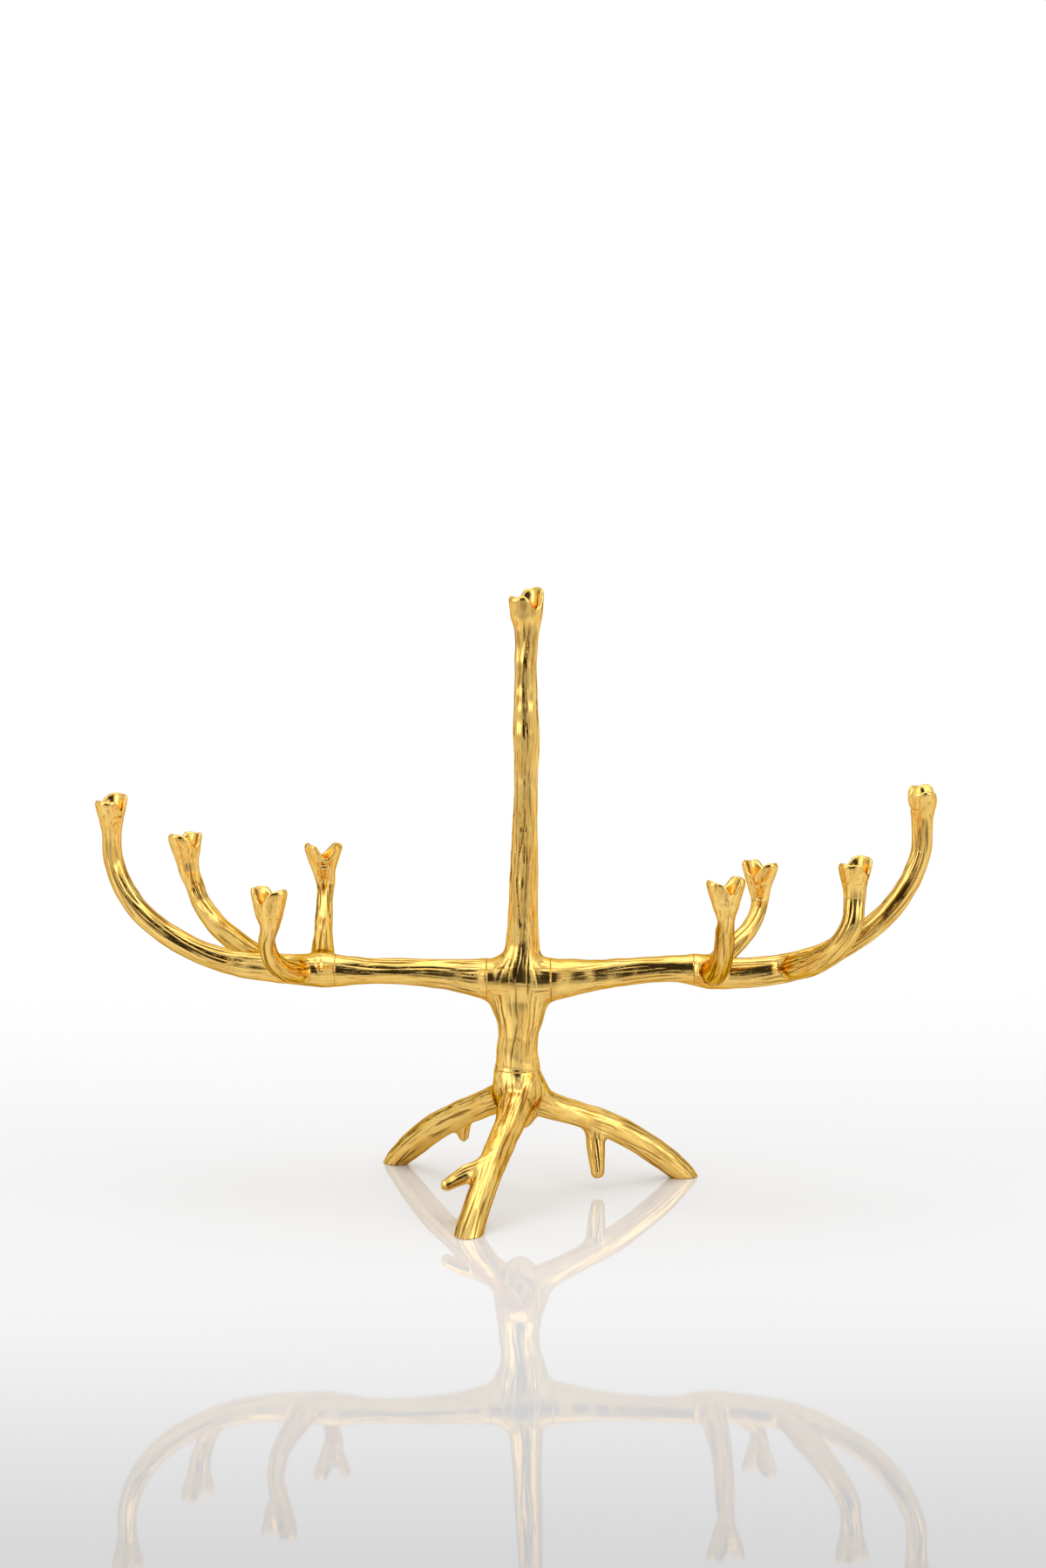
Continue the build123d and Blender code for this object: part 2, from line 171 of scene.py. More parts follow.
RIGHT_WING = [
    (0.5, TRUNK_Y, 99.2, 9.8),
    (*RIGHT_SEAM, 9.9),
    (23.0, TRUNK_Y, 99.4, 8.6),
    (35.0, 9.5, 100.6, 7.1),
    (50.0, 10.5, 102.0, 6.2),
    (64.0, 11.5, 103.0, 5.9),
    (73.0, 11.5, 103.0, 6.2),
    (*RIGHT_KNUCKLE, 7.0),
    (90.0, 9.0, 101.4, 7.1),
    (102.0, 7.0, 101.8, 7.0),
    (115.0, 5.5, 103.2, 6.7),
    (129.0, 4.5, 106.2, 6.2),
    (144.0, 4.5, 112.4, 5.5),
    (158.0, 4.5, 121.0, 5.1),
    (170.0, 4.0, 132.5, 5.0),
    (179.0, 4.0, 147.0, 4.7),
    (182.6, 4.0, 158.5, 4.6),
]
LEFT_MID = [
    (-108.0, 18.6, 103.4, 4.0),
    (-120.5, 30.0, 107.2, 5.3),
    (-131.5, 42.5, 112.5, 5.1),
    (-142.0, 54.5, 119.5, 4.8),
    (-149.0, 61.5, 128.0, 4.5),
    (-152.5, 63.0, 137.0, 4.5),
]
LEFT_FRONT = [
    (-97.0, 16.5, 102.8, 4.6),
    (-101.5, 3.5, 104.5, 5.4),
    (-106.5, -9.5, 108.8, 4.8),
    (-109.8, -19.0, 115.0, 4.2),
    (-110.6, -25.0, 122.5, 3.8),
]
LEFT_REAR = [
    (-89.0, 15.0, 103.0, 6.2),
    (-89.5, 27.0, 109.0, 5.2),
    (-90.0, 41.0, 116.5, 4.2),
    (-90.2, 53.0, 123.5, 4.1),
    (-90.4, 61.5, 130.0, 3.8),
]
RIGHT_MID = [
    (120.0, 5.2, 104.2, 3.8),
    (127.0, -10.0, 107.6, 5.8),
    (134.0, -24.0, 112.8, 5.5),
    (141.0, -34.0, 120.0, 5.1),
    (146.0, -37.5, 128.5, 4.9),
]
RIGHT_FRONT = [
    (87.5, 9.5, 101.6, 4.4),
    (88.6, -5.0, 104.4, 5.8),
    (90.0, -19.0, 110.0, 5.2),
    (90.8, -31.0, 118.0, 4.6),
    (90.8, -39.0, 127.0, 4.3),
]
RIGHT_REAR = [
    (87.0, 10.0, 101.8, 5.4),
    (93.5, 20.5, 106.4, 4.9),
    (100.4, 28.8, 111.2, 4.4),
    (106.8, 35.2, 116.4, 4.1),
    (110.9, 40.8, 122.4, 3.9),
]
LEFT_LEG = [
    (0.5, 9.5, 50.0, 9.0),
    (-7.5, 17.5, 43.4, 7.0),
    (-15.7, 26.0, 38.0, 6.2),
    (-27.0, 37.0, 30.8, 6.2),
    (-39.5, 49.5, 21.6, 6.4),
    (-50.5, 60.5, 11.2, 6.0),
    (-57.2, 67.0, 3.6, 5.2),
    (-62.4, 71.8, -3.4, 4.2),
]
RIGHT_LEG = [
    (1.0, 9.0, 50.0, 9.0),
    (12.0, 13.5, 40.8, 6.4),
    (26.0, 19.0, 34.6, 5.5),
    (42.5, 25.4, 27.2, 6.0),
    (58.5, 31.4, 16.8, 5.9),
    (69.5, 35.2, 8.0, 5.7),
    (76.2, 37.2, 2.0, 5.0),
    (82.0, 39.2, -4.4, 4.0),
]
FRONT_LEG = [
    (0.0, 8.5, 50.0, 9.0),
    (-1.5, -2.0, 44.0, 8.0),
    (-4.0, -13.0, 37.8, 6.8),
    (-8.0, -25.0, 31.0, 6.4),
    (-12.0, -37.0, 23.6, 6.2),
    (-15.8, -48.0, 15.8, 5.9),
    (-19.5, -58.5, 7.0, 6.0),
    (-22.5, -67.0, -2.5, 6.3),
    (-24.0, -71.5, -8.5, 6.3),
]
LEFT_TWIG = [(-25.6, 38.0, 30.0, 3.2), (-25.8, 40.0, 25.0, 3.2), (-25.8, 41.0, 19.0, 2.5)]
RIGHT_TWIG = [
    (34.5, 22.4, 29.0, 3.4),
    (35.3, 20.6, 21.0, 4.1),
    (36.0, 18.0, 13.0, 3.5),
    (36.3, 16.4, 7.5, 2.9),
]
FRONT_TWIG = [(-12.0, -37.0, 24.6, 3.2), (-22.0, -40.4, 21.6, 4.1), (-31.7, -43.4, 17.0, 2.8)]


def candle_cup(
    x, y, tip, azimuth, neck, full,
    low=(0.0, 0.6), notch=(5.2, 5.2), neck_below=CUP_HEIGHT, lean=0.0,
):
    """The measures of a candle cup. The azimuth points to its first prong. Neck is the radius of
    the limb below it. Full is 0 for a cup that flares evenly and 1 for one as wide at the bottom
    as at the rim. Low is how far each prong falls short of the tip height, and notch is how deep
    the fish-mouth is on each side of the prongs. The neck starts neck_below under the tips, and
    lean is how far along X it stands from below the middle of the cup."""
    return {
        "axis": np.array([x, y, tip]),
        "across": np.array([cos(radians(azimuth)), sin(radians(azimuth)), 0.0]),
        "neck": neck,
        "full": full,
        "low": low,
        "notch": notch,
        "neck_below": neck_below,
        "lean": lean,
    }


CUPS = {
    "leader": candle_cup(5.2, 9.5, 277.0, 50.0, 6.2, 0.6, low=(0.0, 3.4), notch=(6.0, 8.4)),
    "left_wing": candle_cup(-184.8, 23.0, 183.7, 70.0, 4.7, 0.0, low=(0.0, 2.2)),
    "left_mid": candle_cup(
        -155.6, 60.5, 161.3, 53.0, 5.0, 0.1, low=(0.4, 0.0), neck_below=19.0, lean=1.6
    ),
    "left_front": candle_cup(-108.8, -29.6, 148.2, -36.0, 4.7, 0.2, low=(0.5, 0.0)),
    "left_rear": candle_cup(
        -91.2, 68.0, 154.9, 18.0, 4.3, 0.0, low=(0.6, 0.0), neck_below=20.0, lean=0.9
    ),
    "right_wing": candle_cup(182.7, 4.0, 187.0, 88.0, 4.9, 0.0, low=(0.0, 1.6)),
    "right_mid": candle_cup(148.3, -35.0, 160.2, 55.0, 4.9, 0.0, low=(0.0, 1.8)),
    "right_front": candle_cup(90.7, -47.6, 153.6, 25.0, 4.3, 0.05, low=(0.0, 0.8)),
    "right_rear": candle_cup(
        113.2, 48.4, 147.6, -41.0, 4.4, 0.0, low=(0.4, 0.0), neck_below=18.0
    ),
}


# ---- small helpers ------------------------------------------------------------------------------
def smoothstep(share):
    """Eases a share from 0 to 1, level at both ends."""
    share = np.clip(share, 0.0, 1.0)
    return share * share * (3.0 - 2.0 * share)


def smooth_min(a, b, reach):
    """The smaller of two fields, with a fillet where they are within reach of each other."""
    share = np.maximum(reach - np.abs(a - b), 0.0) / reach
    return np.minimum(a, b) - share * share * reach / 4.0


def smooth_max(a, b, reach):
    """The larger of two fields, with the edge between them rounded."""
    return -smooth_min(-a, -b, reach)


def dot(a, b):
    """Dot products of two arrays of vectors."""
    return (a * b).sum(axis=-1)


def unit(vector):
    """The vector made one long."""
    return vector / np.linalg.norm(vector)


def drift(rng, along, wavelengths, size):
    """A smooth wandering value along a limb, from waves of random phase."""
    total = np.zeros_like(along)
    for wavelength in wavelengths:
        total += np.sin(along / wavelength * FULL_TURN + rng.uniform(0.0, FULL_TURN))
    return total * size / len(wavelengths)


# ---- limbs ----------------------------------------------------------------------------------------
def smooth_path(stations):
    """Rows every PATH_STEP along a smooth curve through the stations."""
    gaps = np.linalg.norm(np.diff(stations[:, :3], axis=0), axis=1)
    rise = np.diff(stations, axis=0) / gaps[:, None]
    slopes = np.vstack([rise[:1], rise])
    before, after = gaps[:-1, None], gaps[1:, None]
    slopes[1:-1] = (after * rise[:-1] + before * rise[1:]) / (before + after)
    rows = []
    for index, gap in enumerate(gaps):
        t = np.linspace(0.0, 1.0, int(gap / PATH_STEP * 4) + 2)[:, None]
        start, end = stations[index], stations[index + 1]
        rows.append(
            (2 * t**3 - 3 * t**2 + 1) * start
            + (t**3 - 2 * t**2 + t) * gap * slopes[index]
            + (3 * t**2 - 2 * t**3) * end
            + (t**3 - t**2) * gap * slopes[index + 1]
        )
    rows = np.vstack(rows)
    steps = np.linalg.norm(np.diff(rows[:, :3], axis=0), axis=1)
    travelled = np.concatenate([[0.0], np.cumsum(steps)])
    places = np.arange(0.0, travelled[-1], PATH_STEP)
    return np.column_stack([np.interp(places, travelled, column) for column in rows.T])


def carried_normals(tangents, last):
    """A direction square to the path at each sample, carried back from its end without twist."""
    normals = np.empty_like(tangents)
    normal = last
    for index in range(len(tangents) - 1, -1, -1):
        tangent = tangents[index]
        normal = unit(normal - tangent * normal.dot(tangent))
        normals[index] = normal
    return normals


def grow_swells(rng, along, angle, calm):
    """How far the flutes and lumps stand out, with the flutes weaker and the lumps stronger at
    the dressed joints, which stand a little proud."""
    height = np.zeros((len(along), BARK_ANGLES))
    for waves, size in FLUTES:
        phase = drift(rng, along, (61.0, 97.0, 190.0), 1.1) + rng.uniform(0.0, FULL_TURN)
        swell = 0.75 + drift(rng, along, (43.0, 83.0), 0.5)
        height += size * swell * np.cos(waves * angle + phase) * (0.35 + 0.65 * calm)
    dressed = 1.0 - calm
    for turns, pitch, size in LUMPS:
        phase = drift(rng, along, (31.0, 47.0), 2.0)
        lump = size * np.cos(turns * angle + along / pitch * FULL_TURN + phase)
        height += lump * (1.0 + 2.5 * dressed)
    height += 0.25 * dressed
    return height


def grow_grooves(rng, along, angle, radius):
    """How deep in a groove the skin is, from 0 to 1. The grooves wander along the limb and come
    and go, and every second one ends where the limb is too thin for it."""
    groove = np.zeros((len(along), BARK_ANGLES))
    mean_radius = float(radius.mean())
    below_cup = max(len(along) - int(CUP_HEIGHT / BARK_STEP), 1)
    widest = float(radius[:below_cup].max())
    room = smoothstep((radius / widest - 0.6) / 0.25)
    count = int(FULL_TURN * widest / GROOVE_SPACING)
    for index in range(count):
        centre = (index + rng.uniform(-0.38, 0.38)) * FULL_TURN / count
        centre = centre + drift(rng, along, (47.0, 71.0, 120.0), 0.26) * mean_radius / radius
        gap = (angle - centre + pi) % FULL_TURN - pi
        width = rng.uniform(0.3, 0.55) * (1.0 + drift(rng, along, (21.0, 37.0), 0.35))
        share = np.clip(0.62 + drift(rng, along, (31.0, 53.0, 97.0), 1.2), 0.0, 1.0)
        depth = rng.uniform(0.3, 1.0) * smoothstep(share)
        if index % 2:
            depth = depth * room
        groove = np.maximum(groove, depth * np.exp(-np.abs(gap * radius / width) ** 1.5))
    return groove


class Limb:
    """A branch, leg or twig: its centreline, its radii, its bark, and its candle cup if it has one."""

    def __init__(self, name, stations, seed, quiet=()):
        self.name = name
        self.cup = CUPS.get(name)
        if self.cup:
            stations = stations + self.cup_stations()
        path = smooth_path(np.array(stations, float))
        places, radii = path[:, :3], path[:, 3:5]
        tangents = np.gradient(places, axis=0)
        tangents /= np.linalg.norm(tangents, axis=1)[:, None]
        last = self.cup["across"] if self.cup else unit(np.cross(tangents[-1], (0.1, 0.2, 1.0)))
        normals = carried_normals(tangents, last)
        ovals = np.tile(last, (len(path), 1))
        if name == "leader":
            ovals[places[:, 2] < OVAL_TRUNK_Z] = (1.0, 0.0, 0.0)
        # Columns: place, tangent, normal, long axis of the section, half length, half width.
        self.table = np.hstack([places, tangents, normals, ovals, radii]).astype(np.float32)
        self.length = (len(path) - 1.001) * PATH_STEP     # just short of the last sample
        self.bark = self.grow_bark(seed, quiet)

    def cup_stations(self):
        """The neck, the flare and a short overrun, as more stations of the limb."""
        x, y, tip = self.cup["axis"]
        neck, neck_below, lean = self.cup["neck"], self.cup["neck_below"], self.cup["lean"]
        full = self.cup["full"]
        _, rim_length, rim_width = CUP_PROFILE[-1]
        found = [(x + lean, y, tip - neck_below, neck, neck)]
        for below, half_length, half_width in CUP_PROFILE:
            place = x + lean * (below / neck_below) ** 2
            half_length = max(half_length + full * (rim_length - half_length), neck + 0.4)
            half_width = max(half_width + full * (rim_width - half_width), neck + 0.3)
            found.append((place, y, tip - below, half_length, half_width))
        found.append((x, y, tip + CUP_OVERRUN, *CUP_PROFILE[-1][1:]))
        return found

    def grow_bark(self, seed, quiet):
        """Map of the skin: how far it stands out, and how deep in a groove it is, from 0 to 1."""
        rng = np.random.default_rng(seed)
        rows = int(self.length / BARK_STEP) + 2
        along = np.arange(rows)[:, None] * BARK_STEP
        angle = np.arange(BARK_ANGLES)[None, :] * (FULL_TURN / BARK_ANGLES)
        samples = np.minimum((along[:, 0] / PATH_STEP).astype(int), len(self.table) - 1)
        radius = self.table[samples, 12:14].mean(axis=1)[:, None]
        calm, fade = self.dressed_places(along, quiet)
        height = grow_swells(rng, along, angle, calm)
        groove = grow_grooves(rng, along, angle, radius)
        groove *= fade
        filled = groove + (1.0 - fade) * GROOVE_SHARE
        height = height * 0.8 - 0.02 - GROOVE_DEPTH * filled
        return np.stack([height, groove], axis=-1).astype(np.float32)

    def dressed_places(self, along, quiet):
        """Two measures along the limb, 1 in full bark: calm falls towards 0 at the dressed joints,
        and fade does so at the joints and at the cup."""
        calm = np.ones_like(along)
        for place, width in quiet:
            calm *= 1.0 - 0.94 * np.exp(-(((along - self.along_at(place)) / width) ** 2))
        fade = calm.copy()
        if self.cup:
            to_tip = self.length - CUP_OVERRUN - along
            fade *= 0.12 + 0.88 * smoothstep((to_tip - 6.0) / 18.0)
        return calm, fade

    def along_at(self, place):
        """Distance along the limb of its nearest point to a place."""
        gaps = np.linalg.norm(self.table[:, :3] - np.array(place, np.float32), axis=1)
        return float(gaps.argmin()) * PATH_STEP

    def first_guess(self, centres):
        """For each block centre: the distance along the limb, and roughly how far off its skin is."""
        along = np.empty(len(centres), np.float32)
        off = np.empty(len(centres), np.float32)
        places = self.table[::4, :3]
        widest = self.table[::4, 12:14].max(axis=1)
        for start in range(0, len(centres), CENTRES_PER_BATCH):
            batch = slice(start, start + CENTRES_PER_BATCH)
            part = centres[batch]
            gaps = np.linalg.norm(part[:, None] - places[None], axis=2) - widest[None] * 0.5
            nearest = gaps.argmin(axis=1)
            along[batch] = nearest * 4 * PATH_STEP
            off[batch] = gaps[np.arange(len(part)), nearest] - widest[nearest] * 0.5
        return along, off

    def rows_at(self, along, columns):
        """The first columns of the centreline's table at distances along it."""
        place = along / PATH_STEP
        low = np.minimum(place.astype(np.int32), len(self.table) - 2)
        part = (place - low)[:, None]
        table = self.table[:, :columns]
        return table[low] * (1.0 - part) + table[low + 1] * part

    def bark_at(self, along, angle):
        """The bark's height and groove depth at places on the skin."""
        row = along / BARK_STEP
        low_row = np.minimum(row.astype(np.int32), len(self.bark) - 2)
        row_part = (row - low_row)[:, None]
        column = (angle / FULL_TURN) % 1.0 * BARK_ANGLES
        low_column = column.astype(np.int32)
        column_part = (column - low_column)[:, None]
        low_column %= BARK_ANGLES
        next_column = (low_column + 1) % BARK_ANGLES

        def between_columns(at_row):
            low = self.bark[at_row, low_column]
            high = self.bark[at_row, next_column]
            return low * (1 - column_part) + high * column_part

        found = between_columns(low_row) * (1 - row_part) + between_columns(low_row + 1) * row_part
        return found[:, 0], found[:, 1]

    def skin(self, points, along):
        """Signed distance of points from the limb's skin, and their marks: how deep they are in a
        groove, and their place on the bark, as two distances across the limb and one along it."""
        for _ in range(3):
            rows = self.rows_at(along, 6)
            along = along + dot(points - rows[:, :3], rows[:, 3:6])
            along = np.clip(along, 0.0, self.length).astype(np.float32)
        rows = self.rows_at(along, 14)
        offset = points - rows[:, :3]
        tangent, normal, oval = rows[:, 3:6], rows[:, 6:9], rows[:, 9:12]
        reach = np.sqrt(dot(offset, offset)) + 1e-6
        angle = np.arctan2(dot(offset, np.cross(tangent, normal)), dot(offset, normal))
        lengthwise = np.clip(dot(offset, oval) / reach, -1.0, 1.0) ** 2
        half_length, half_width = rows[:, 12], rows[:, 13]
        radius = half_length * half_width / np.sqrt(
            half_width**2 * lengthwise + half_length**2 * (1.0 - lengthwise)
        )
        height, groove = self.bark_at(along, angle)
        field = reach - radius - height
        if self.cup:
            field = self.open_cup(points, field)
        marks = np.column_stack([groove, radius * np.cos(angle), radius * np.sin(angle), along])
        return field, marks

    def open_cup(self, points, field):
        """Cuts the fish-mouth rim and sinks the funnel and the candle socket."""
        axis, across = self.cup["axis"], self.cup["across"]
        top = points[:, 2] > axis[2] - CUP_CUT_HEIGHT
        if not top.any():
            return field
        local = points[top] - axis.astype(np.float32)
        lengthwise = local[:, 0] * across[0] + local[:, 1] * across[1]
        sideways = local[:, 1] * across[0] - local[:, 0] * across[1]
        below = -local[:, 2]
        reach = np.hypot(lengthwise, sideways) + 1e-6
        angle = np.arctan2(sideways, lengthwise)
        seed = float(axis[0])

        rise = smoothstep((np.abs(lengthwise) - PRONG_START) / PRONG_RISE)
        low = np.where(lengthwise > 0.0, *self.cup["low"])
        notch = np.where(sideways > 0.0, *self.cup["notch"])
        rim = notch + (low - notch) * rise
        rim += 0.4 + 0.3 * np.sin(5.0 * angle + seed) + 0.1 * np.sin(9.0 * angle + 2.0 * seed)
        rim_cut = (rim - below) * 0.9

        mouth = smoothstep(1.0 - below / MOUTH_DEPTH)
        mouth = mouth + LIP_SHARE * np.maximum(0.0, 1.0 - below / LIP_DEPTH)
        half_length = CANDLE_RADIUS + MOUTH_LENGTH * mouth
        half_width = CANDLE_RADIUS + MOUTH_WIDTH * mouth
        share = (lengthwise / reach) ** 2
        funnel = half_length * half_width / np.sqrt(half_width**2 * share + half_length**2 * (1 - share))
        funnel += 0.14 * np.sin(4.0 * angle + 0.6 * below + seed) * np.clip(1.2 - below / 8.0, 0.0, 1.0)
        hole = smooth_max(reach - funnel, below - CANDLE_DEPTH, SOCKET_ROUND)
        cut = smooth_max(field[top], rim_cut, RIM_ROUND)
        field[top] = smooth_max(cut, -hole, MOUTH_ROUND)
        return field


def oval_stations(stations):
    """Stations with one radius, written with two."""
    return [(x, y, z, radius, radius) for x, y, z, radius in stations]


def make_limbs():
    """Every limb of the tree by name. The quiet places are the dressed joints, with a half width."""
    leader = [(x, TRUNK_Y, z, half_x, half_y) for x, z, half_x, half_y in STUB_AND_TRUNK]
    leader += oval_stations(STEM)
    base = [(BASE_SEAM, 7.0)]
    left = [(LEFT_SEAM, 5.0), (LEFT_KNUCKLE, 6.0)]
    beside_right_seam = (RIGHT_SEAM_X + 6.0, *RIGHT_SEAM[1:])
    right = [(beside_right_seam, 8.0), (RIGHT_KNUCKLE, 6.0)]
    limbs = [
        Limb("leader", leader, 11, quiet=base),
        Limb("left_wing", oval_stations(LEFT_WING), 23, quiet=left),
        Limb("right_wing", oval_stations(RIGHT_WING), 37, quiet=right),
    ]
    others = {
        "left_mid": LEFT_MID,
        "left_front": LEFT_FRONT,
        "left_rear": LEFT_REAR,
        "right_mid": RIGHT_MID,
        "right_front": RIGHT_FRONT,
        "right_rear": RIGHT_REAR,
        "left_leg": LEFT_LEG,
        "right_leg": RIGHT_LEG,
        "front_leg": FRONT_LEG,
        "left_twig": LEFT_TWIG,
        "right_twig": RIGHT_TWIG,
        "front_twig": FRONT_TWIG,
    }
    for number, (name, stations) in enumerate(others.items()):
        limbs.append(Limb(name, oval_stations(stations), 101 + number))
    return {limb.name: limb for limb in limbs}


LIMBS = make_limbs()


# ---- castings -------------------------------------------------------------------------------------
def lodged(skins, name, carrier):
    """Below zero in the share of the tree that belongs to a side branch and not to its carrier."""
    return np.maximum(skins[name], -SADDLE_DEPTH) - skins[carrier]


# Of each side: the limb that carries the others, and the side branches on it.
SIDES = {
    "left": ("left_wing", ("left_front", "left_rear", "left_mid")),
    "right": ("right_wing", ("right_front", "right_rear", "right_mid")),
}


def base_cut(points, skins):
    """The share between the table and the base seam. It needs no limb's skin."""
    return np.maximum(-points[:, 2], points[:, 2] - BASE_SEAM_Z)


def trunk_cut(points, skins):
    """The share above the base seam and between the shoulder seams. It needs no limb's skin."""
    sides = np.maximum(LEFT_SEAM_X - points[:, 0], points[:, 0] - RIGHT_SEAM_X)
    return np.maximum(BASE_SEAM_Z - points[:, 2], sides)


def carrier_cut(side, low_x, high_x):
    """The share of an arm or an outer branch from one X to a larger one, less its side branches."""
    wing, branches = SIDES[side]

    def cut(points, skins):
        found = np.maximum(low_x - points[:, 0], points[:, 0] - high_x)
        for name in branches:
            found = np.maximum(found, -lodged(skins, name, wing))
        return found

    return cut


def branch_cut(side, name):
    """The share of a side branch, against its carrier and the other branches of that side."""
    wing, branches = SIDES[side]

    def cut(points, skins):
        found = lodged(skins, name, wing)
        for other in branches:
            if other != name:
                found = np.maximum(found, skins[name] - skins[other])
        return found

    return cut


CASTINGS = {
    "root_base": base_cut,
    "trunk_stem": trunk_cut,
    "left_arm": carrier_cut("left", LEFT_KNUCKLE_X, LEFT_SEAM_X),
    "right_arm": carrier_cut("right", RIGHT_SEAM_X, RIGHT_KNUCKLE_X),
    "left_outer_branch": carrier_cut("left", -BEYOND_X, LEFT_KNUCKLE_X),
    "right_outer_branch": carrier_cut("right", RIGHT_KNUCKLE_X, BEYOND_X),
}
for side, (_, branches) in SIDES.items():
    for branch in branches:
        CASTINGS[branch + "_branch"] = branch_cut(side, branch)


# ---- hidden pins: start, direction, length, radius --------------------------------------------------
def across_joint(middle, direction, length, radius):
    """A pin with its middle on a joint."""
    direction = np.array(direction, float)
    return np.array(middle) - direction * length / 2.0, direction, length, radius


def root_pin(stations):
    """The pin in the root of a side branch, along its first stretch."""
    start, along = np.array(stations[0][:3]), np.array(stations[1][:3])
    direction = unit(along - start)
    return start + direction * BRANCH_PIN_START, direction, BRANCH_PIN_LENGTH, BRANCH_PIN_RADIUS


PINS = [
    across_joint(BASE_SEAM, (0, 0, 1), STUD_LENGTH, STUD_RADIUS),
    across_joint(LEFT_SEAM, (-1, 0, 0), ARM_DOWEL_LENGTH, ARM_DOWEL_RADIUS),
    across_joint(RIGHT_SEAM, (1, 0, 0), ARM_DOWEL_LENGTH, ARM_DOWEL_RADIUS),
    across_joint(LEFT_KNUCKLE, (-1, 0, 0), KNUCKLE_DOWEL_LENGTH, KNUCKLE_DOWEL_RADIUS),
    across_joint(RIGHT_KNUCKLE, (1, 0, 0), KNUCKLE_DOWEL_LENGTH, KNUCKLE_DOWEL_RADIUS),
]
for side_branch in (LEFT_MID, LEFT_FRONT, LEFT_REAR, RIGHT_MID, RIGHT_FRONT, RIGHT_REAR):
    PINS.append(root_pin(side_branch))


def drill(points, field):
    """Sinks the blind holes of the pins that are near these points."""
    low, high = points.min(axis=0), points.max(axis=0)
    for start, direction, length, radius in PINS:
        middle = start + direction * length / 2.0
        if (middle < low - length).any() or (middle > high + length).any():
            continue
        offset = points - middle.astype(np.float32)
        along = dot(offset, direction.astype(np.float32))
        out = np.sqrt(np.maximum(dot(offset, offset) - along**2, 0.0))
        hole = np.maximum(out - radius - PIN_SIDE_PLAY, np.abs(along) - length / 2.0 - PIN_END_PLAY)
        field = np.maximum(field, -hole)
    return field


